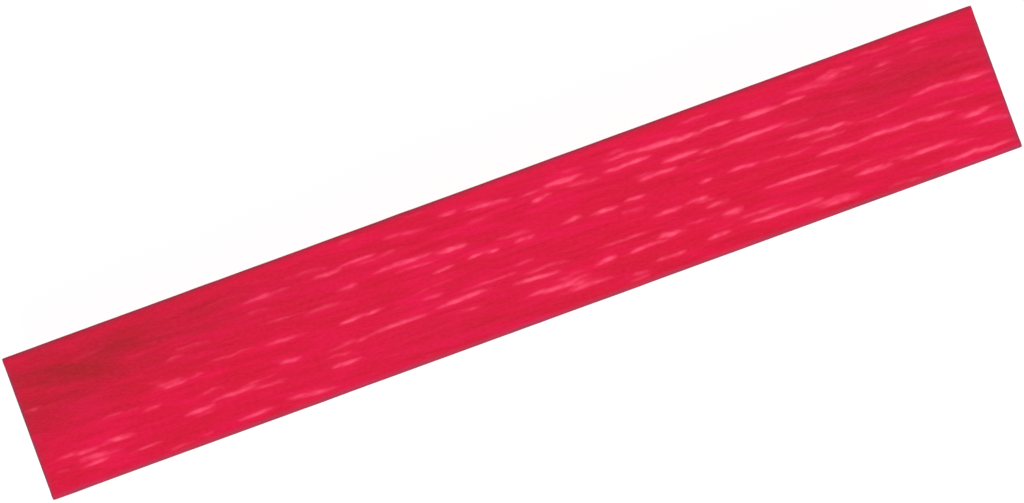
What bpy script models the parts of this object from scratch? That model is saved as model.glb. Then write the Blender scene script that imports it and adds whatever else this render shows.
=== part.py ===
"""A square crayon in a crinkled paper sleeve.

It lies on its back face, with its length along X, its width along Y and +Z up. The origin is the
centre of the face it rests on. The stick is free to slide along X inside the sleeve, which is one
sheet of paper folded round it. The sheet's last panel covers the first one on the back, and a layer
of paste between the two holds the sleeve closed.

Units are metres.
"""

import bmesh
import bpy

MM = 0.001

# Driving dimensions
FACE_WIDTH = 10.0 * MM
LENGTH_PER_WIDTH = 6.8
PAPER = 0.2 * MM  # bulk thickness of the crinkled sheet
SLIDE_GAP = 0.05 * MM  # between the stick and the sleeve, on each side
PASTE = 0.1 * MM  # thickness of the dried layer
PASTE_GAP = 0.02 * MM  # keeps the paste and the two sheets it joins apart as solids
FOLD_RADIUS = 0.2 * MM  # inside a fold of the sheet
SHEET_EDGE_GAP = 0.2 * MM  # from a free edge of the sheet to the fold it stops short of
PASTE_MARGIN = 0.8 * MM  # bare border of the two joined panels
STICK_RECESS = 0.2 * MM  # the sleeve stands this far past each end of the stick
STICK_EDGE_RADIUS = 0.35 * MM
POUR_RIM = 0.9 * MM  # flat border round the dish that the cooling wax leaves
POUR_DEPTH = 0.15 * MM

FOLD_SEGMENTS = 3
STICK_EDGE_SEGMENTS = 4

# Worked out from them
LENGTH = FACE_WIDTH * LENGTH_PER_WIDTH
STICK_SIDE = FACE_WIDTH - 2 * (PAPER + SLIDE_GAP)
STICK_LENGTH = LENGTH - 2 * STICK_RECESS
INSIDE_HALF = STICK_SIDE / 2 + SLIDE_GAP
LAP_TOP = PAPER  # upper side of the outer back panel
INSIDE_FLOOR = LAP_TOP + PASTE_GAP + PASTE + PASTE_GAP + PAPER
INSIDE_CEILING = INSIDE_FLOOR + 2 * INSIDE_HALF
STICK_CENTRE = (INSIDE_FLOOR + INSIDE_CEILING) / 2


def clear_scene():
    for obj in list(bpy.data.objects):
        bpy.data.objects.remove(obj)


def make_material(name, colour, roughness):
    material = bpy.data.materials.new(name)
    material.use_nodes = True
    shader = material.node_tree.nodes["Principled BSDF"]
    shader.inputs["Base Color"].default_value = (*colour, 1.0)
    shader.inputs["Roughness"].default_value = roughness
    shader.inputs["Metallic"].default_value = 0.0
    return material


def add_object(name, mesh_builder, material, parent, location=(0.0, 0.0, 0.0)):
    """A named object whose bmesh geometry mesh_builder makes, under the crayon's empty."""
    mesh = bpy.data.meshes.new(name)
    shape = bmesh.new()
    mesh_builder(shape)
    bmesh.ops.recalc_face_normals(shape, faces=shape.faces)
    shape.to_mesh(mesh)
    shape.free()
    obj = bpy.data.objects.new(name, mesh)
    bpy.context.scene.collection.objects.link(obj)
    obj.data.materials.append(material)
    obj.location = location
    obj.parent = parent
    return obj


def sheet_path():
    """The sheet's inner side in section, as (y, z): inner back panel, left, front, right, outer back panel."""
    return [
        (INSIDE_HALF - SHEET_EDGE_GAP, INSIDE_FLOOR),
        (-INSIDE_HALF, INSIDE_FLOOR),
        (-INSIDE_HALF, INSIDE_CEILING),
        (INSIDE_HALF, INSIDE_CEILING),
        (INSIDE_HALF, LAP_TOP),
        (SHEET_EDGE_GAP - INSIDE_HALF, LAP_TOP),
    ]


def build_folded_sheet(shape):
    """Extrudes the open section along X. The folds and the thickness come from modifiers."""
    start = [shape.verts.new((-LENGTH / 2, y, z)) for y, z in sheet_path()]
    section = [shape.edges.new(pair) for pair in zip(start, start[1:])]
    swept = bmesh.ops.extrude_edge_only(shape, edges=section)["geom"]
    new_verts = [item for item in swept if isinstance(item, bmesh.types.BMVert)]
    bmesh.ops.translate(shape, verts=new_verts, vec=(LENGTH, 0.0, 0.0))


def build_box(size):
    def build(shape):
        bmesh.ops.create_cube(shape, size=1.0)
        bmesh.ops.scale(shape, verts=shape.verts, vec=size)

    return build


def build_stick(shape):
    """A rounded square bar with a shallow dish in the +X end, where the poured wax shrank."""
    build_box((STICK_LENGTH, STICK_SIDE, STICK_SIDE))(shape)
    bmesh.ops.bevel(
        shape,
        geom=shape.edges[:],
        offset=STICK_EDGE_RADIUS,
        segments=STICK_EDGE_SEGMENTS,
        profile=0.5,
        affect="EDGES",
    )
    pour_face = max(shape.faces, key=lambda face: face.calc_center_median().x)
    bmesh.ops.inset_region(shape, faces=[pour_face], thickness=POUR_RIM)
    bmesh.ops.inset_region(shape, faces=[pour_face], thickness=POUR_RIM, depth=-POUR_DEPTH)


def add_paper_sleeve(parent, paper):
    sleeve = add_object("paper_sleeve", build_folded_sheet, paper, parent)
    folds = sleeve.modifiers.new("folds", "BEVEL")
    folds.width = FOLD_RADIUS
    folds.segments = FOLD_SEGMENTS
    folds.limit_method = "ANGLE"
    thickness = sleeve.modifiers.new("thickness", "SOLIDIFY")
    thickness.thickness = PAPER
    thickness.use_even_offset = True
    # The sheet's normals are made to point away from the stick, and it thickens that way.
    front = max(sleeve.data.polygons, key=lambda face: face.center.z)
    thickness.offset = 1.0 if front.normal.z > 0.0 else -1.0
    return sleeve


def add_seam_paste(parent, paste):
    size = (LENGTH - 2 * PASTE_MARGIN, FACE_WIDTH - 2 * PASTE_MARGIN, PASTE)
    centre = (0.0, 0.0, LAP_TOP + PASTE_GAP + PASTE / 2)
    return add_object("seam_paste", build_box(size), paste, parent, centre)


def add_wax_stick(parent, wax):
    stick = add_object("wax_stick", build_stick, wax, parent, (0.0, 0.0, STICK_CENTRE))
    stick.data.shade_smooth()
    stick.data.set_sharp_from_angle(angle=0.6)
    return stick


def main():
    clear_scene()
    crayon = bpy.data.objects.new("crayon", None)
    bpy.context.scene.collection.objects.link(crayon)
    add_wax_stick(crayon, make_material("red wax", (0.52, 0.010, 0.030), 0.45))
    add_paper_sleeve(crayon, make_material("red crinkled paper", (0.745, 0.014, 0.056), 0.6))
    add_seam_paste(crayon, make_material("dried paste", (0.78, 0.66, 0.50), 0.5))


main()
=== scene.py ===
"""The looks of a square crayon in a crinkled paper sleeve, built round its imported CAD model.

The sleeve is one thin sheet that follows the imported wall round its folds. Its crinkles are real
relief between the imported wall's two sides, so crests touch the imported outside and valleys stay
clear of the wax. The wax bar and the dried paste between the two back panels are meshes too.

Lengths are in metres. "Along" is X, from the left end. "Across" is the front face's width, from
its upper edge (+Y) to its lower edge (-Y). "Girth" is the way round the sheet, from its free edge
inside the lap to its free edge outside.
"""

import math

import bmesh
import bpy
import numpy as np
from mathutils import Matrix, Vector


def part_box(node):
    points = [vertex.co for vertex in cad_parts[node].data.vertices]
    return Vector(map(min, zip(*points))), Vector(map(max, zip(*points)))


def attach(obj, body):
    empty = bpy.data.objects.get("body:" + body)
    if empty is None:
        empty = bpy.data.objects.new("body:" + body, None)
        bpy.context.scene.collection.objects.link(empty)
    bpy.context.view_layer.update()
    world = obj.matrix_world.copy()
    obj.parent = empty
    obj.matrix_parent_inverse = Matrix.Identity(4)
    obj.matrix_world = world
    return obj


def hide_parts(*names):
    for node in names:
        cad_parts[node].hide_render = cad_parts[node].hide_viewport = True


MM = 0.001

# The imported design's own sizes
WALL = 0.2 * MM  # bulk thickness of the crinkled sheet
SLIDE_GAP = 0.05 * MM
FOLD_OUTSIDE = 0.4 * MM  # radius on the outside of a fold
EDGE_GAP = 0.2 * MM  # from a free edge of the sheet to the fold it stops short of

# The sheet
SHEET = 0.07 * MM  # the paper itself
RELIEF = WALL - SHEET  # from crest to valley
LEVEL = 0.4  # the flat paper's height between valley, 0, and crest, 1
FOLD_PRESS = 0.45 * MM  # how far from a fold the crinkles are pressed flat
END_PRESS = 0.12 * MM  # how far from a cut end the sheet is crushed lower
EDGE_SHADE_WIDTH = 0.17 * MM  # of the painted dark line of shade along folds and cut ends
SHADIER_FOLD_SHADE = 0.58  # strength of the painted edge shade on the front face's +Y fold, which the lamps leave darker already, where the others have 1
COLUMN_STEP = 0.64 * MM
END_STEPS = (0.0, 0.05 * MM, 0.1 * MM, 0.16 * MM, 0.26 * MM)  # the columns next to a cut end
FOLD_ROWS = 6
FRONT_ROWS = 130
SIDE_ROWS = 95
BACK_ROWS = 68
HIDDEN_ROWS = 8

# The crinkles
BOLD_HEIGHT = 1.8  # a bold crease's height at strength 1. Heights add up, and then level off
BOLD_SPREAD = 1.35  # its tapered length over the stretch that stands proud
BOLD_BREADTH = (0.09, 0.13)  # in mm
BOLD_SLOPE = (-0.10, 0.01)  # girth gained per length along
SHOULDER = {"width": 2.7, "length": 1.3, "height": 0.42}  # a shoulder's sizes over its crease's
SCATTERED_BREADTH = (0.085, 0.15)  # in mm
SCATTERED_SLOPE = (-0.13, 0.03)

# The wax bar
BAR_SIDE_POINTS = 36
BAR_CORNER_POINTS = 6
BAR_STEP = 0.42 * MM
BAR_EDGE = 0.35 * MM  # radius of its moulded edges
BAR_CORNER_STEP = BAR_EDGE / 4  # about the distance between the outline's points round a corner
CAST_SKIN = 0.02 * MM  # how far the mould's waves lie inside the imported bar, on average
CHIPS = 46
MOULD_WAVES = 30
CAP_RINGS = 26
POUR_RIM = 0.9 * MM  # flat border round the dish in the +X end
POUR_DEPTH = 0.15 * MM
POUR_DIMPLE = 0.2 * MM  # how much deeper the dish's middle is

# The paste
PASTE_BEAD = 0.3 * MM  # how far it was squeezed out past its own edge
PASTE_COLUMNS = 180
PASTE_ROWS = 44
PASTE_SWELL = 0.015 * MM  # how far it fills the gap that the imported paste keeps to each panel

# The front face's bold creases. Each row lies this far across the face, in face widths, and has the
# stretches along it that stand proud: (left, right, strength)
BOLD_CREASES = {
    0.045: ((2.33, 2.45, 0.4), (2.79, 2.95, 0.4), (5.49, 5.61, 0.35)),
    0.125: ((3.03, 3.15, 0.35), (5.69, 5.81, 0.4)),
    0.155: ((3.22, 3.48, 0.5),),
    0.180: ((3.60, 3.69, 0.3), (3.76, 3.98, 0.65), (4.44, 4.82, 0.7), (4.86, 5.06, 0.65), (6.07, 6.17, 0.4)),
    0.205: ((2.32, 2.54, 0.5), (5.13, 5.33, 0.6), (5.40, 5.57, 0.5)),
    0.220: ((1.68, 1.80, 0.35), (2.10, 2.30, 0.4), (4.15, 4.27, 0.55), (4.28, 4.46, 0.65)),
    0.235: ((3.64, 3.75, 0.55),),
    0.290: ((4.56, 4.78, 0.65),),
    0.320: ((2.51, 2.81, 0.4), (4.78, 4.86, 0.35), (5.04, 5.36, 0.65)),
    0.350: ((2.26, 2.36, 0.35), (2.94, 3.12, 0.7), (4.36, 4.46, 0.45), (4.48, 4.60, 0.55)),
    0.400: ((0.02, 0.12, 0.35), (1.02, 1.12, 0.3)),
    0.445: ((3.11, 3.23, 0.4), (3.80, 3.90, 0.65), (4.24, 4.33, 0.6), (5.38, 5.78, 0.6), (6.25, 6.49, 0.65)),
    0.460: ((2.89, 2.99, 0.5), (3.24, 3.34, 0.45), (3.46, 3.56, 0.4), (4.00, 4.13, 0.7), (6.53, 6.77, 0.55)),
    0.500: ((4.72, 4.80, 0.5), (4.93, 5.13, 0.5)),
    0.530: ((1.68, 1.88, 0.35),),
    0.560: ((0.94, 1.07, 0.6), (1.12, 1.22, 0.3), (2.18, 2.32, 0.65), (2.34, 2.46, 0.45)),
    0.605: ((2.77, 2.87, 0.35), (4.38, 4.56, 0.5), (4.63, 4.74, 0.5), (5.52, 5.76, 0.45), (5.81, 6.19, 0.85)),
    0.622: ((6.20, 6.36, 0.5),),
    0.680: ((1.72, 1.84, 0.45), (2.83, 3.17, 0.55), (4.71, 4.83, 0.4)),
    0.695: ((2.37, 2.73, 0.45), (5.14, 5.58, 0.65), (6.55, 6.65, 0.5)),
    0.720: ((3.36, 3.64, 0.7),),
    0.750: ((1.24, 1.50, 0.55), (4.34, 4.50, 0.7), (4.82, 4.90, 0.6)),
    0.775: ((0.12, 0.40, 0.3), (0.47, 0.62, 0.4), (1.04, 1.19, 0.7), (3.92, 4.02, 0.75), (4.16, 4.26, 0.5)),
    0.812: ((2.03, 2.21, 0.6), (5.73, 5.93, 0.75), (6.04, 6.40, 0.55)),
    0.832: ((3.42, 3.78, 0.65),),
    0.870: ((0.27, 0.44, 0.4), (4.65, 4.79, 0.6), (4.93, 5.31, 0.65), (5.34, 5.44, 0.45)),
    0.890: ((4.27, 4.37, 0.35), (4.38, 4.46, 0.5)),
    0.930: ((1.35, 1.55, 0.5), (1.70, 2.00, 0.5), (5.41, 5.69, 0.35), (6.31, 6.77, 0.65)),
    0.965: ((0.82, 1.02, 0.35), (4.06, 4.22, 0.4), (5.91, 6.15, 0.5)),
}

# Soft darker and lighter patches on the front face: (along, across, half length, half height, change), in
# face widths
TONES = (
    (0.55, 0.20, 1.10, 0.22, -0.31),
    (0.10, 0.45, 0.60, 0.25, -0.12),
    (6.30, 0.28, 0.80, 0.17, -0.14),
    (0.55, 0.80, 0.90, 0.20, 0.05),
    (5.90, 0.90, 0.90, 0.15, 0.05),
    (3.10, 0.85, 0.60, 0.20, -0.06),
)

# The camera
LENS = 100.0
SENSOR = 36.0
TILT = math.radians(20.05)  # how far the crayon's right end is turned up in view
FRAME_MARGIN = 1.0024  # the view's width over the width that the tilted crayon spans
BELOW_MIDDLE = 0.084 * MM  # how far the crayon's centre lies under the view's
LIGHT_TARGET = Vector((0.0, 0.0, 0.005))


def attribute(mesh, name, kind, values):
    """Stores one number or vector for each point, for a material to read."""
    layer = mesh.attributes.new(name, kind, "POINT")
    layer.data.foreach_set("vector" if kind == "FLOAT_VECTOR" else "value", np.ravel(values))


def mesh_object(name, points, faces, materials):
    mesh = bpy.data.meshes.new(name)
    mesh.from_pydata(points, [], faces)
    obj = bpy.data.objects.new(name, mesh)
    bpy.context.scene.collection.objects.link(obj)
    for material in materials:
        mesh.materials.append(material)
    return obj


def closed_sheet(name, outside, inside, materials):
    """A thin closed sheet between two grids of points. Its rim has the second material."""
    rows, columns = outside.shape[:2]
    count = rows * columns
    index = np.arange(count).reshape(rows, columns)
    corners = [index[:-1, :-1], index[:-1, 1:], index[1:, 1:], index[1:, :-1]]
    front = np.stack([corner.ravel() for corner in corners], axis=1)
    back = front[:, ::-1] + count
    loop = np.concatenate([index[0, :-1], index[:-1, -1], index[-1, :0:-1], index[:0:-1, 0]])
    ahead = np.roll(loop, -1)
    rim = np.stack([loop, loop + count, ahead + count, ahead], axis=1)
    points = np.concatenate([outside.reshape(-1, 3), inside.reshape(-1, 3)])
    faces = np.concatenate([front, back, rim])
    obj = mesh_object(name, points.tolist(), faces.tolist(), materials)
    mesh = obj.data
    slots = np.zeros(len(faces), np.int32)
    slots[-len(rim) :] = 1
    mesh.polygons.foreach_set("material_index", slots)
    mesh.shade_smooth()
    mesh.set_sharp_from_angle(angle=math.radians(70))
    return obj


def bell(distance, width):
    """1 at no distance, falling smoothly to nearly nothing at twice the width."""
    return np.exp(-((distance / width) ** 2))


# --- The sheet's way round -----------------------------------------------------------------


def arc(centre, turn_from, turn_to, rows):
    """Points and outward normals on the outside of a fold. Angles are in degrees from +Y."""
    angles = np.radians(np.linspace(turn_from, turn_to, rows, endpoint=False))
    normals = np.column_stack([np.cos(angles), np.sin(angles)])
    return np.array(centre) + FOLD_OUTSIDE * normals, normals


def straight(start, end, normal, rows):
    """Points and outward normals on a flat panel's outside."""
    share = np.linspace(0.0, 1.0, rows, endpoint=False)[:, None]
    points = (1 - share) * np.array(start) + share * np.array(end)
    return points, np.tile(np.array(normal, float), (rows, 1))


def columns_along(length):
    """Distances from the left end, close together where the sheet is cut."""
    inner = np.arange(END_STEPS[-1] + COLUMN_STEP, length - END_STEPS[-1] - COLUMN_STEP / 2, COLUMN_STEP)
    left = np.array(END_STEPS)
    return np.concatenate([left, inner, (length - left)[::-1]])


def girth_path():
    """The sheet's outside in section: points (y, z), normals, girth, and the girths of its folds."""
    low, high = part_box("paper_sleeve")
    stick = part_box("wax_stick")
    floor = stick[0].z - SLIDE_GAP - WALL  # underside of the inner back panel
    left, right = low.y + FOLD_OUTSIDE, high.y - FOLD_OUTSIDE
    top = high.z - FOLD_OUTSIDE
    inner_edge = high.y - WALL - EDGE_GAP
    outer_edge = low.y + WALL + EDGE_GAP
    stretches = [
        straight((inner_edge, floor), (left, floor), (0, -1), HIDDEN_ROWS),
        arc((left, floor + FOLD_OUTSIDE), 270, 180, FOLD_ROWS),
        straight((low.y, floor + FOLD_OUTSIDE), (low.y, top), (-1, 0), SIDE_ROWS),
        arc((left, top), 180, 90, FOLD_ROWS),
        straight((left, high.z), (right, high.z), (0, 1), FRONT_ROWS),
        arc((right, top), 90, 0, FOLD_ROWS),
        straight((high.y, top), (high.y, low.z + FOLD_OUTSIDE), (1, 0), SIDE_ROWS),
        arc((right, low.z + FOLD_OUTSIDE), 0, -90, FOLD_ROWS),
        straight((right, low.z), (outer_edge, low.z), (0, -1), BACK_ROWS),
        (np.array([[outer_edge, low.z]]), np.array([[0.0, -1.0]])),
    ]
    points = np.concatenate([stretch[0] for stretch in stretches])
    normals = np.concatenate([stretch[1] for stretch in stretches])
    steps = np.linalg.norm(np.diff(points, axis=0), axis=1)
    girth = np.concatenate([[0.0], np.cumsum(steps)])
    starts = np.cumsum([0] + [len(stretch[0]) for stretch in stretches])
    fold_middles = [(girth[starts[k]] + girth[starts[k + 1]]) / 2 for k in (1, 3, 5, 7)]
    return points, normals, girth, fold_middles


# --- The crinkles ---------------------------------------------------------------------------


def ridge(rng, along, girth, length, width, height, slope):
    """One crease about the point (along, girth), which wanders a little from its straight line."""
    return {
        "along": along,
        "girth": girth,
        "length": length,
        "width": width,
        "height": height,
        "slope": slope,
        "wobble": rng.uniform(0.0, 0.07) * MM,
        "wave": rng.uniform(1.5, 4.0) * MM,
        "phase": rng.uniform(0, 2 * math.pi),
    }


def bold_ridges(rng, start, width):
    """The front face's bold creases as ridges. start is the girth of its lower edge."""
    ridges = []
    for across, stretches in BOLD_CREASES.items():
        for left, right, strength in stretches:
            girth = start + (1 - across + rng.uniform(-0.004, 0.004)) * width
            length = (right - left) * BOLD_SPREAD * width
            breadth, height = rng.uniform(*BOLD_BREADTH) * MM, BOLD_HEIGHT * strength
            middle, slope = (left + right) / 2 * width, rng.uniform(*BOLD_SLOPE)
            ridges.append(ridge(rng, middle, girth, length, breadth, height, slope))
    return ridges


def shoulders(ridges):
    """The low swell that carries each ridge."""
    return [{key: value * SHOULDER.get(key, 1.0) for key, value in each.items()} for each in ridges]


def scattered_ridges(rng, girths, length, count, heights, lengths):
    """Ridges strewn evenly over a stretch of girth and the whole length. The lengths are in mm."""
    ridges = []
    for _ in range(count):
        along, girth = rng.uniform(0, length), rng.uniform(*girths)
        long, breadth = rng.uniform(*lengths) * MM, rng.uniform(*SCATTERED_BREADTH) * MM
        height, slope = rng.uniform(*heights), rng.uniform(*SCATTERED_SLOPE)
        ridges.append(ridge(rng, along, girth, long, breadth, height, slope))
    return ridges


def ridge_heights(ridges, along, girth):
    """The ridges' sum at each [girth, along] grid point. A ridge is steeper on one flank, and tapers."""
    total = np.zeros((len(girth), len(along)))
    for each in ridges:
        ahead = along - each["along"]
        near = np.abs(ahead) < each["length"] / 2
        ahead = ahead[near]
        taper = (1 - (2 * ahead / each["length"]) ** 2) ** 1.5
        wobble = each["wobble"] * np.sin(2 * math.pi * ahead / each["wave"] + each["phase"])
        aside = girth[:, None] - each["girth"] - each["slope"] * ahead - wobble
        width = np.where(aside > 0, 1.25, 0.8) * each["width"]
        total[:, near] += each["height"] * taper * bell(aside, width)
    return total


def tone(along, across, width):
    """How much darker or lighter the front face's colour is at each [across, along] grid point."""
    total = np.zeros((len(across), len(along)))
    for left, down, half_length, half_height, change in TONES:
        far = ((along / width - left) / half_length) ** 2
        deep = ((across[:, None] - down) / half_height) ** 2
        total += change * np.exp(-(far + deep))
    return total


def crinkles(girth, folds, along, length, width):
    """How strongly each crest carries a painted highlight, and how swollen, risen and sunk the paper is at
    each [girth, along] grid point, from 0 to 1.
    """
    rng = np.random.default_rng(7)
    all_round = (0.0, girth[-1])
    bold = bold_ridges(rng, folds[1], width)
    for stretch, count in (((folds[0], folds[1]), 60), ((folds[2], girth[-1]), 130)):
        bold += scattered_ridges(rng, stretch, length, count, (0.5, 1.2), (1.5, 6.0))
    bold += scattered_ridges(rng, all_round, length, 800, (0.05, 0.45), (1.5, 5.0))
    faint = scattered_ridges(rng, all_round, length, 2600, (0.3, 1.0), (1.5, 6.0))
    grooves = scattered_ridges(rng, all_round, length, 2200, (0.3, 1.2), (1.5, 5.5))
    bold_height = ridge_heights(bold, along, girth)
    faint_height = ridge_heights(faint, along, girth)
    # How strongly the bold ridges' crests carry the highlight that the material paints in a lighter pink
    crest_highlight = 1 - np.exp(-1.2 * bold_height)
    swollen = 1 - np.exp(-ridge_heights(shoulders(bold), along, girth))
    risen = 1 - (1 - 0.6 * swollen) * np.exp(-(1.3 * bold_height + 0.8 * faint_height))
    sunk = 1 - np.exp(-ridge_heights(grooves, along, girth))
    return crest_highlight, swollen, risen, sunk


def add_sleeve(paper, cut_edge):
    """The folded sheet. Its rows run along the crayon and follow each other round the girth."""
    low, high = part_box("paper_sleeve")
    length, width = high.x - low.x, high.y - low.y
    section, normals, girth, folds = girth_path()
    along = columns_along(length)
    crest_highlight, swollen, risen, sunk = crinkles(girth, folds, along, length, width)
    height = np.clip(LEVEL + (1 - LEVEL) * risen - LEVEL * sunk, 0.0, 1.0)
    fold_distance = np.min([np.abs(girth - fold) for fold in folds], axis=0)[:, None]
    end_distance = np.minimum(along, length - along)[None, :]
    pressed = bell(fold_distance, FOLD_PRESS)
    free = 1 - pressed
    height = height + (1 - height) * pressed
    height = height * (1 - 0.5 * free * bell(end_distance, END_PRESS))
    depth = RELIEF * (1 - height)

    def layer(below):
        across = section[:, None, :] - normals[:, None, :] * (depth + below)[:, :, None]
        x = np.broadcast_to(low.x + along, depth.shape)
        return np.dstack([x, across[:, :, 0], across[:, :, 1]])

    obj = closed_sheet("crinkled_sleeve", layer(0.0), layer(SHEET), [paper, cut_edge])
    across = (high.y - section[:, 0]) / width
    on_front = np.isclose(section[:, 1], high.z, atol=FOLD_OUTSIDE)
    tones = tone(along, across, width) * on_front[:, None]
    bright = free * np.clip(1 + 2 * tones, 0.3, 1)
    # A painted dark line of shade runs along the folds and cut ends. The front face's +Y fold, which the
    # lamps leave darker already, gets less of it
    shadier_fold = np.abs(girth - folds[2]) < 1 * MM
    edge_shade_share = np.where(shadier_fold, SHADIER_FOLD_SHADE, 1.0)[:, None]
    edge_wear_and_shade = bell(np.minimum(fold_distance, end_distance), EDGE_SHADE_WIDTH) * edge_shade_share
    nothing = np.zeros(depth.shape)
    shown = {  # each on the sheet's outside, and then on its inside, where a ridge is a groove
        "painted_crest_highlight": (crest_highlight * bright, nothing),
        "swell": (swollen * bright, nothing),
        "risen": (risen * free, sunk * free),
        "sunk": (sunk * free, risen * free),
        "edge": (edge_wear_and_shade, nothing),
        "tone": (tones, nothing),
    }
    for name, values in shown.items():
        attribute(obj.data, name, "FLOAT", np.concatenate(values))
    place = np.dstack(np.broadcast_arrays(along[None, :], girth[:, None], 0.0))
    attribute(obj.data, "place", "FLOAT_VECTOR", np.tile(place.reshape(-1, 3), (2, 1)))
    return obj


# --- The wax bar ----------------------------------------------------------------------------


def bar_outline(half):
    """The bar's section as (y, z) about its centre, with each point's distance from the nearest edge."""
    flat = half - BAR_EDGE
    quarter = []
    for share in np.linspace(-1, 1, BAR_SIDE_POINTS, endpoint=False):
        quarter.append((half, share * flat, flat - abs(share * flat)))
    for turn in np.linspace(0, math.pi / 2, BAR_CORNER_POINTS, endpoint=False):
        quarter.append((flat + BAR_EDGE * math.cos(turn), flat + BAR_EDGE * math.sin(turn), 0.0))
    outline = []
    for y, z, from_edge in quarter * 4:
        turns = len(outline) // len(quarter)
        for _ in range(turns):
            y, z = -z, y
        outline.append((y, z, from_edge))
    return np.array(outline)


def chips(rng, outline, along, length):
    """How deep each [station, outline] point is chipped, on the long edges and mostly near the ends."""
    around = len(outline)
    depth = np.zeros((len(along), around))
    for _ in range(CHIPS):
        corner = (rng.integers(4) + 1) * around // 4 - BAR_CORNER_POINTS // 2
        from_end = length * rng.beta(0.6, 1.4) / 2
        middle = from_end if rng.random() < 0.5 else length - from_end
        reach, across = rng.uniform(0.8, 2.6) * MM, rng.uniform(0.3, 0.7) * MM
        near = np.clip(1 - ((along - middle) / reach) ** 2, 0, None) ** 2
        steps = np.abs((np.arange(around) - corner + around // 2) % around - around // 2)
        aside = np.clip(1 - (steps * BAR_CORNER_STEP / across) ** 2, 0, None) ** 2
        depth = np.maximum(depth, rng.uniform(0.05, 0.18) * MM * near[:, None] * aside)
    return depth


def drag_waves(rng, outline, along):
    """Shallow waves that the mould left along the bar."""
    step = np.arange(len(outline)) / len(outline)
    total = np.zeros((len(along), len(outline)))
    for _ in range(MOULD_WAVES):
        turns, drift, phase = rng.integers(3, 40), rng.uniform(-9, 9), rng.uniform(0, 2 * math.pi)
        fade = 0.5 + 0.5 * np.sin(along * rng.uniform(30, 160) + phase)
        total += fade[:, None] * np.sin(2 * math.pi * turns * step + drift * along[:, None] + phase)
    return total / MOULD_WAVES


def from_middle(ring, angle, half, power):
    """Distance from an end's centre. Its contours are circles at power 2, and squarer above it."""
    across, up = np.abs(np.cos(angle)), np.abs(np.sin(angle))
    return (1 - ring) * half * (across**power + up**power) ** (1 / power) / np.maximum(across, up)


def dish_share(ring, angle, half):
    """0 on the flat border of the +X end, rising to 1 on the floor of the dish in it."""
    wander = 0.10 * MM * np.sin(3 * angle + 1) + 0.06 * MM * np.sin(5 * angle)
    into = (half - from_middle(ring, angle, half, 4) - POUR_RIM + wander) / (1.3 * POUR_RIM)
    into = np.clip(into, 0, 1)
    return into**2 * (3 - 2 * into)


def pour_dish(ring, angle, half):
    """How deep the +X end is sunk at a ring, from 0 at the rim to 1 at the centre."""
    into = dish_share(ring, angle, half)
    from_centre = from_middle(ring, angle, half, 2)
    ripple = 0.006 * MM * np.sin(from_centre / (0.12 * MM) + np.sin(2 * angle)) * into
    return POUR_DEPTH * into + ripple + POUR_DIMPLE * bell(from_centre, 0.8 * MM)


def cast_end(ring, angle, half):
    """The -X end: nearly flat, with the faint hollow and ripples of a chilled mould face."""
    hollow = 0.03 * MM * ring**2
    return hollow + 0.004 * MM * np.sin(ring * half / (0.45 * MM) + np.sin(3 * angle)) * ring


def add_wax_bar(wax):
    """The bar's outline at stations along X, inset where it is rounded or chipped, and its two ends."""
    low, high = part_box("wax_stick")
    centre_y, centre_z = (low.y + high.y) / 2, (low.z + high.z) / 2
    half, length = (high.y - low.y) / 2, high.x - low.x
    rng = np.random.default_rng(11)
    outline = bar_outline(half)
    bends = BAR_EDGE * (1 - np.cos(np.linspace(0, math.pi / 2, BAR_CORNER_POINTS)))
    middle = np.arange(BAR_EDGE + BAR_STEP, length - BAR_EDGE - BAR_STEP / 2, BAR_STEP)
    along = np.concatenate([bends, middle, (length - bends)[::-1]])
    from_end = np.minimum(along, length - along)
    into_edge = np.clip(BAR_EDGE - from_end, 0, None)
    rounding = BAR_EDGE - np.sqrt(np.clip(BAR_EDGE**2 - into_edge**2, 0, None))
    chipped = chips(rng, outline, along, length)
    inset = rounding[:, None] + chipped + CAST_SKIN * (1 + drag_waves(rng, outline, along))
    share = 1 - inset / half
    x = np.broadcast_to(low.x + along[:, None], share.shape)
    sides = np.dstack([x, centre_y + share * outline[:, 0], centre_z + share * outline[:, 1]])
    rings = np.linspace(0, 1, CAP_RINGS, endpoint=False)[1:]
    angle = np.arctan2(outline[:, 1], outline[:, 0])[None, :]

    def cap(rim, inward, shape):
        ring = rings[:, None]
        x = rim[None, :, 0] + inward * shape(ring, angle, half)
        y = centre_y + (rim[None, :, 1] - centre_y) * (1 - ring)
        z = centre_z + (rim[None, :, 2] - centre_z) * (1 - ring)
        middle_x = rim[0, 0] + inward * float(shape(1.0, 0.0, half))
        return np.dstack([x, y, z]), (middle_x, centre_y, centre_z)

    first, first_middle = cap(sides[0], 1, cast_end)
    last, last_middle = cap(sides[-1], -1, pour_dish)
    grid = np.concatenate([first[::-1], sides, last])
    obj = closed_bar("wax_bar", grid, first_middle, last_middle, [wax])
    from_edge = np.broadcast_to(outline[:, 2], grid.shape[:2]).copy()
    depth_in = np.concatenate([rings[::-1] * half, np.zeros(len(along)), rings * half])
    ends = np.concatenate([np.zeros(len(rings)), from_end, np.zeros(len(rings))])
    edge_wear_and_shade = np.minimum(np.maximum(from_edge, depth_in[:, None]), np.maximum(ends, depth_in)[:, None])
    edge = bell(edge_wear_and_shade, 0.5 * MM)
    broken = np.zeros(grid.shape[:2])
    broken[len(rings) : len(rings) + len(along)] = np.clip(chipped / (0.08 * MM), 0, 1)
    dished = np.zeros(grid.shape[:2])
    dished[-len(rings) :] = dish_share(rings[:, None], angle, half)
    shown = {  # each over the grid, and at the middles of the two ends
        "edge": (edge, (0.0, 0.0)),
        "broken": (broken, (0.0, 0.0)),
        "dished": (dished, (0.0, 1.0)),
    }
    for name, (values, middles) in shown.items():
        attribute(obj.data, name, "FLOAT", np.append(values.ravel(), middles))
    return obj


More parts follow.
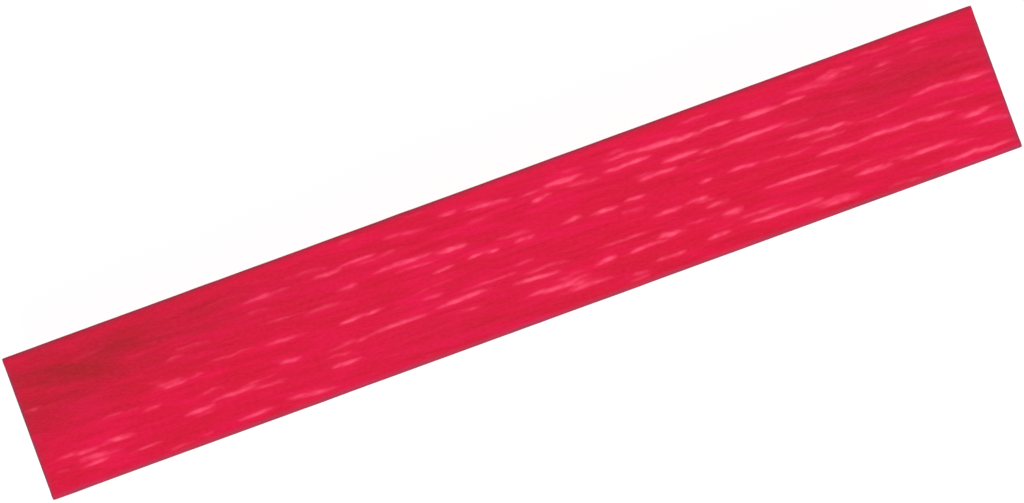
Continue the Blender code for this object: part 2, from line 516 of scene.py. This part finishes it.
def closed_bar(name, grid, first_middle, last_middle, materials):
    """A closed skin over rings of points, with a fan to a middle point at either end."""
    rows, around = grid.shape[:2]
    index = np.arange(rows * around).reshape(rows, around)
    ahead = np.roll(index, -1, axis=1)
    quads = np.stack([index[:-1], ahead[:-1], ahead[1:], index[1:]], axis=2).reshape(-1, 4)
    first = [(rows * around, b, a) for a, b in zip(index[0], ahead[0])]
    last = [(rows * around + 1, a, b) for a, b in zip(index[-1], ahead[-1])]
    points = grid.reshape(-1, 3).tolist() + [first_middle, last_middle]
    faces = quads[:, ::-1].tolist() + [face[::-1] for face in first] + [face[::-1] for face in last]
    obj = mesh_object(name, points, faces, materials)
    face_out(obj.data)
    obj.data.shade_smooth()
    obj.data.set_sharp_from_angle(angle=math.radians(50))
    return obj


def face_out(mesh):
    shape = bmesh.new()
    shape.from_mesh(mesh)
    bmesh.ops.recalc_face_normals(shape, faces=shape.faces)
    shape.to_mesh(mesh)
    shape.free()


# --- The paste ------------------------------------------------------------------------------


def add_paste(paste):
    """A brushed film between the two back panels, squeezed out in beads along the lap's free edge."""
    low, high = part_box("seam_paste")
    floor, ceiling = low.z - PASTE_SWELL, high.z + PASTE_SWELL
    rng = np.random.default_rng(23)
    along = np.linspace(0, 1, PASTE_COLUMNS)
    across = np.linspace(0, 1, PASTE_ROWS)

    def ragged(size, waves, speed):
        values = sum(np.sin(along * rng.uniform(*speed) + rng.uniform(0, 6.3)) for _ in range(waves))
        return size * np.abs(values) / waves

    bead = ragged(PASTE_BEAD, 4, (30, 140)) + ragged(PASTE_BEAD, 3, (90, 260))
    starts = low.y - np.clip(bead, 0, PASTE_BEAD)
    stops = high.y - ragged(0.5 * MM, 4, (20, 90))
    y = starts[None, :] + (stops - starts)[None, :] * across[:, None]
    end_wave = 0.5 * MM * np.sin(across * 17) ** 2
    x = low.x + end_wave[:, None] + (high.x - low.x - 2 * end_wave[:, None]) * along[None, :]
    rounding = np.minimum(np.minimum(across, 1 - across)[:, None] * 9, 1)
    rounding = np.minimum(rounding, np.minimum(along, 1 - along)[None, :] * 60)
    thick = (ceiling - floor) / 2 * (0.3 + 0.7 * np.sqrt(np.clip(rounding, 0, 1)))
    brushed = 0.12 + 0.06 * np.sin(across[:, None] * 70 + 3 * np.sin(along[None, :] * 30))
    half = thick * (1 - brushed)
    middle = np.full(half.shape, (floor + ceiling) / 2)
    top, bottom = np.dstack([x, y, middle + half]), np.dstack([x, y, middle - half])
    return closed_sheet("paste_film", top, bottom, [paste, paste])


# --- Materials -------------------------------------------------------------------------------


class Nodes:
    """Short calls for building a material's node tree."""

    def __init__(self, name):
        self.material = bpy.data.materials.new(name)
        self.material.use_nodes = True
        self.tree = self.material.node_tree
        self.shader = self.tree.nodes["Principled BSDF"]

    def add(self, kind, **settings):
        node = self.tree.nodes.new(kind)
        for key, value in settings.items():
            setattr(node, key, value)
        return node

    def link(self, source, target):
        self.tree.links.new(source, target)

    def attribute(self, name):
        return self.add("ShaderNodeAttribute", attribute_name=name)

    def noise(self, vector, scale, stretch=(1, 1, 1), detail=3.0, slant=0.0):
        """Noise whose cells are 1/scale metres across, stretched by the given factors and turned."""
        mapping = self.add("ShaderNodeMapping", vector_type="TEXTURE")
        mapping.inputs["Scale"].default_value = [factor / scale for factor in stretch]
        mapping.inputs["Rotation"].default_value = (0, 0, slant)
        self.link(vector, mapping.inputs["Vector"])
        noise = self.add("ShaderNodeTexNoise")
        noise.inputs["Scale"].default_value = 1.0
        noise.inputs["Detail"].default_value = detail
        self.link(mapping.outputs["Vector"], noise.inputs["Vector"])
        return noise.outputs["Fac"]

    def remap(self, value, low, high, to_low=0.0, to_high=1.0):
        node = self.add("ShaderNodeMapRange")
        ends = {"From Min": low, "From Max": high, "To Min": to_low, "To Max": to_high}
        for key, number in ends.items():
            node.inputs[key].default_value = number
        self.link(value, node.inputs["Value"])
        return node.outputs["Result"]

    def math(self, operation, first, second):
        """A calculation on two values, each a number or a socket."""
        node = self.add("ShaderNodeMath", operation=operation)
        for socket, value in zip(node.inputs, (first, second)):
            if isinstance(value, (int, float)):
                socket.default_value = value
            else:
                self.link(value, socket)
        return node.outputs["Value"]

    def mix(self, factor, first, second):
        """Mixes two colours, each a colour or a socket, by a factor from a socket."""
        node = self.add("ShaderNodeMix", data_type="RGBA")
        sockets = node.inputs[0], node.inputs[6], node.inputs[7]
        for socket, value in zip(sockets, (factor, first, second)):
            if isinstance(value, tuple):
                socket.default_value = (*value, 1.0)
            else:
                self.link(value, socket)
        return node.outputs[2]

    def bump(self, height, distance, normal=None):
        node = self.add("ShaderNodeBump")
        node.inputs["Strength"].default_value = 1.0
        node.inputs["Distance"].default_value = distance
        self.link(height, node.inputs["Height"])
        if normal is not None:
            self.link(normal, node.inputs["Normal"])
        return node.outputs["Normal"]

    def drive(self, **sources):
        """Links sockets to the shader's inputs, by the inputs' names with _ for each space."""
        for key, source in sources.items():
            self.link(source, self.shader.inputs[key.replace("_", " ")])

    def set(self, **values):
        """Sets values on the shader's inputs, named in the same way."""
        for key, value in values.items():
            self.shader.inputs[key.replace("_", " ")].default_value = value


def red_paper():
    """Dyed crinkled paper: painted pink highlights on the crests, painted light on raised paper, painted
    shade in the grooves, and a painted dark line of shade along folds and cut ends.
    """
    n = Nodes("crinkled_red_paper")
    place = n.attribute("place").outputs["Vector"]
    slant = math.radians(-7)
    cloud = n.noise(place, 160.0, (3.0, 1.0, 1.0), 2.0)
    fibre = n.noise(place, 9000.0, (3.0, 1.0, 1.0), 2.0)
    crepe = n.noise(place, 3600.0, (8.0, 1.0, 1.0), 3.0, slant)
    blotch = n.noise(place, 700.0, (3.0, 1.0, 1.0), 3.0, slant)
    smear = n.noise(place, 1300.0, (6.0, 1.0, 1.0), 3.0, slant)
    colour = n.mix(n.remap(cloud, 0.35, 0.65), (0.69, 0.0055, 0.040), (0.72, 0.0065, 0.060))
    colour = n.mix(n.remap(blotch, 0.42, 0.62, 0.0, 0.7), colour, (0.78, 0.0055, 0.070))
    colour = n.mix(n.remap(smear, 0.38, 0.62, 0.0, 0.65), colour, (0.60, 0.007, 0.028))
    colour = n.mix(n.remap(crepe, 0.35, 0.65, 0.0, 0.3), colour, (0.60, 0.006, 0.036))
    # Painted shade: the grooves are coloured darker, where shade would fall in them
    sunk = n.attribute("sunk").outputs["Fac"]
    colour = n.mix(n.remap(sunk, 0.2, 1.0, 0.0, 0.22), colour, (0.50, 0.006, 0.024))
    streaked = n.remap(n.noise(place, 900.0, (5.0, 1.0, 1.0), 3.0, slant), 0.35, 0.65, 0.6, 1.3)
    tones = n.math("MULTIPLY", n.attribute("tone").outputs["Fac"], streaked)
    colour = n.mix(n.remap(tones, 0.0, -0.56, 0.0, 1.0), colour, (0.30, 0.0145, 0.013))
    # Painted light: raised paper is coloured lighter and pinker, as if catching the light
    risen = n.attribute("risen").outputs["Fac"]
    colour = n.mix(n.remap(risen, 0.45, 1.0, 0.0, 0.25), colour, (0.88, 0.030, 0.10))
    # Painted highlight: the swells round the bold crests are coloured lighter, a glow round their highlights
    swell = n.attribute("swell").outputs["Fac"]
    colour = n.mix(n.remap(swell, 0.03, 0.5, 0.0, 0.5), colour, (0.86, 0.014, 0.088))
    bead = n.noise(place, 3000.0, (2.5, 1.0, 1.0), 2.0, slant)
    # Painted highlight: the crests are coloured a lighter pink where they would catch the light
    painted_crest_highlight = n.math("MULTIPLY", n.attribute("painted_crest_highlight").outputs["Fac"], n.remap(bead, 0.3, 0.65, 0.5, 1.25))
    colour = n.mix(n.remap(painted_crest_highlight, 0.08, 0.75, 0.0, 1.0), colour, (0.97, 0.085, 0.175))
    colour = n.mix(n.remap(fibre, 0.35, 0.65, 0.0, 0.12), colour, (0.90, 0.05, 0.12))
    # Painted shade: a dark line along the folds and cut ends, broken up by noise
    edge_wear_and_shade = n.noise(place, 1500.0, (4.0, 1.0, 1.0), 3.0)
    edge = n.math("MULTIPLY", n.attribute("edge").outputs["Fac"], n.remap(edge_wear_and_shade, 0.35, 0.65, 0.55, 1.0))
    colour = n.mix(n.remap(edge, 0.0, 1.0, 0.0, 0.97), colour, (0.235, 0.046, 0.086))
    normal = n.bump(fibre, 0.006 * MM, n.bump(crepe, 0.03 * MM))
    n.drive(Base_Color=colour, Normal=normal, Roughness=n.remap(fibre, 0.3, 0.7, 0.55, 0.7))
    n.set(Specular_IOR_Level=0.06)
    return n.material


def cut_paper():
    """The sheet's cut rim, where the dye is thinner and the fibres stand out."""
    n = Nodes("cut_red_paper")
    place = n.attribute("place").outputs["Vector"]
    fibre = n.noise(place, 14000.0, detail=2.0)
    colour = n.mix(n.remap(fibre, 0.35, 0.65), (0.50, 0.02, 0.045), (0.72, 0.09, 0.13))
    n.drive(Base_Color=colour, Normal=n.bump(fibre, 0.01 * MM))
    n.set(Roughness=0.8, Specular_IOR_Level=0.15)
    return n.material


def red_wax():
    """Cast crayon wax: mottling, a faint bloom, drag lines, pinholes and scuffed edges, with painted shade in
    the pinholes and the dish, and a painted highlight on the dish's slope.
    """
    n = Nodes("red_crayon_wax")
    place = n.add("ShaderNodeTexCoord").outputs["Object"]
    mottle = n.noise(place, 350.0, (2.0, 1.0, 1.0), 4.0)
    bloom = n.noise(place, 900.0, (1.5, 1.0, 1.0), 6.0)
    drag = n.noise(place, 5200.0, (60.0, 1.0, 1.0), 2.0)
    grain = n.noise(place, 12000.0, detail=2.0)
    pinholes = n.add("ShaderNodeTexVoronoi")
    pinholes.inputs["Scale"].default_value = 1100.0
    n.link(place, pinholes.inputs["Vector"])
    hole = n.remap(pinholes.outputs["Distance"], 0.03, 0.11)
    colour = n.mix(n.remap(mottle, 0.35, 0.65), (0.50, 0.005, 0.016), (0.62, 0.008, 0.026))
    colour = n.mix(n.remap(bloom, 0.50, 0.78, 0.0, 0.3), colour, (0.76, 0.035, 0.05))
    colour = n.mix(n.remap(drag, 0.58, 0.72, 0.0, 0.2), colour, (0.70, 0.03, 0.05))
    edge = n.math("MULTIPLY", n.attribute("edge").outputs["Fac"], n.remap(bloom, 0.4, 0.6, 0.2, 1.0))
    colour = n.mix(n.remap(edge, 0.1, 1.0, 0.0, 0.35), colour, (0.76, 0.06, 0.08))
    crumbs = n.remap(n.noise(place, 5000.0), 0.35, 0.65, 0.25, 1.0)
    broken = n.math("MULTIPLY", n.attribute("broken").outputs["Fac"], crumbs)
    colour = n.mix(n.remap(broken, 0.1, 1.0, 0.0, 0.5), colour, (0.76, 0.09, 0.11))
    # Painted shade: the dish is coloured darker. Painted highlight: its sloping rim is coloured lighter
    dished = n.attribute("dished").outputs["Fac"]
    colour = n.mix(n.remap(dished, 0.2, 1.0, 0.0, 0.42), colour, (0.36, 0.003, 0.012))
    lip = n.math("MULTIPLY", dished, n.math("SUBTRACT", 1.0, dished))
    lip = n.math("MULTIPLY", lip, n.remap(bloom, 0.35, 0.65, 0.3, 1.2))
    colour = n.mix(n.remap(lip, 0.0, 0.25, 0.0, 0.28), colour, (0.78, 0.07, 0.09))
    # Painted shade: the pinholes' middles are coloured dark, as shade inside the holes
    colour = n.mix(n.remap(hole, 0.0, 1.0, 0.5, 0.0), colour, (0.18, 0.001, 0.006))
    normal = n.bump(hole, 0.04 * MM, n.bump(grain, 0.004 * MM, n.bump(drag, 0.02 * MM)))
    n.drive(Base_Color=colour, Normal=normal, Roughness=n.remap(bloom, 0.4, 0.7, 0.3, 0.55))
    n.set(Specular_IOR_Level=0.14, Subsurface_Weight=0.1, Subsurface_Scale=0.0005)
    return n.material


def dried_paste():
    """Dried paste: cloudy, a little glossy, and stained by the paper's dye."""
    n = Nodes("dried_paste")
    place = n.add("ShaderNodeTexCoord").outputs["Object"]
    cloud = n.noise(place, 700.0, (2.0, 1.0, 1.0), 4.0)
    colour = n.mix(n.remap(cloud, 0.35, 0.65), (0.60, 0.27, 0.21), (0.74, 0.50, 0.38))
    normal = n.bump(n.noise(place, 3000.0), 0.02 * MM)
    n.drive(Base_Color=colour, Normal=normal, Roughness=n.remap(cloud, 0.35, 0.65, 0.3, 0.55))
    n.set(Specular_IOR_Level=0.5)
    return n.material


# --- Stage -----------------------------------------------------------------------------------


def add_camera():
    """A camera straight above the front face, turned so that the crayon fills the view corner to corner."""
    low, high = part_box("paper_sleeve")
    length, width = high.x - low.x, high.y - low.y
    face_centre = Vector(((low.x + high.x) / 2, (low.y + high.y) / 2, high.z))
    span = length * math.cos(TILT) + width * math.sin(TILT)
    data = bpy.data.cameras.new("camera")
    data.lens, data.sensor_width = LENS, SENSOR
    data.clip_start, data.clip_end = 0.001, 10.0
    camera = bpy.data.objects.new("camera", data)
    bpy.context.scene.collection.objects.link(camera)
    up = Vector((math.sin(TILT), math.cos(TILT), 0.0))
    distance = span * FRAME_MARGIN * LENS / SENSOR
    camera.location = face_centre + up * BELOW_MIDDLE + Vector((0, 0, distance))
    camera.rotation_euler = (0.0, 0.0, -TILT)
    bpy.context.scene.camera = camera


def add_light(name, location, size, power):
    data = bpy.data.lights.new(name, "AREA")
    data.shape = "RECTANGLE"
    data.size, data.size_y = size
    data.energy = power
    light = bpy.data.objects.new(name, data)
    bpy.context.scene.collection.objects.link(light)
    light.location = location
    light.rotation_euler = (LIGHT_TARGET - light.location).to_track_quat("-Z", "Y").to_euler()


def add_floor():
    """A pale floor that is white mostly by its own glow, so that shadows on it stay faint."""
    n = Nodes("pale_floor")
    grain = n.noise(n.add("ShaderNodeTexCoord").outputs["Object"], 40.0)
    n.drive(Base_Color=n.mix(n.remap(grain, 0.3, 0.7), (0.12, 0.12, 0.12), (0.14, 0.14, 0.14)))
    n.set(Roughness=0.9, Specular_IOR_Level=0.0, Emission_Color=(1, 1, 1, 1), Emission_Strength=0.93)
    half = 4.0
    corners = [(-half, -half, 0), (half, -half, 0), (half, half, 0), (-half, half, 0)]
    floor = mesh_object("floor", corners, [(0, 1, 2, 3)], [n.material])


def add_sky():
    """A soft dome, white round the horizon and dimmer overhead."""
    world = bpy.data.worlds.new("studio")
    bpy.context.scene.world = world
    world.use_nodes = True
    tree = world.node_tree
    direction = tree.nodes.new("ShaderNodeTexCoord")
    split = tree.nodes.new("ShaderNodeSeparateXYZ")
    fade = tree.nodes.new("ShaderNodeMapRange")
    ends = {"From Min": 0.05, "From Max": 0.2, "To Min": 1.0, "To Max": 0.38}
    for key, number in ends.items():
        fade.inputs[key].default_value = number
    tree.links.new(direction.outputs["Generated"], split.inputs["Vector"])
    tree.links.new(split.outputs["Z"], fade.inputs["Value"])
    tree.links.new(fade.outputs["Result"], tree.nodes["Background"].inputs["Strength"])
    tree.nodes["Background"].inputs["Color"].default_value = (1.0, 1.0, 1.0, 1.0)


def light_stage():
    bpy.context.scene.view_settings.view_transform = "Standard"
    add_sky()
    add_light("softbox", (0.04, -0.03, 0.60), (0.60, 0.50), 0.65)
    add_light("fill", (-0.10, 0.35, 0.25), (0.30, 0.20), 0.3)
    add_light("key", (0.08, -0.28, 0.42), (0.30, 0.20), 1.55)


# --- The scene -------------------------------------------------------------------------------

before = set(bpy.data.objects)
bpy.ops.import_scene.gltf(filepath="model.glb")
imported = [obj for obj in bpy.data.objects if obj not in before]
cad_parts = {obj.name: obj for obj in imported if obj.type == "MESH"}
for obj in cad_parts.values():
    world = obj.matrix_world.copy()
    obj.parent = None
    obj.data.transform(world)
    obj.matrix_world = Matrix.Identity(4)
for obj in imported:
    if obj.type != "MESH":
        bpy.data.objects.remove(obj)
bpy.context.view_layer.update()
add_camera()

sleeve = add_sleeve(red_paper(), cut_paper())
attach(sleeve, "sleeve")
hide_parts("paper_sleeve")

bar = add_wax_bar(red_wax())
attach(bar, "stick")
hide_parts("wax_stick")

paste = add_paste(dried_paste())
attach(paste, "sleeve")
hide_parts("seam_paste")

add_floor()
light_stage()
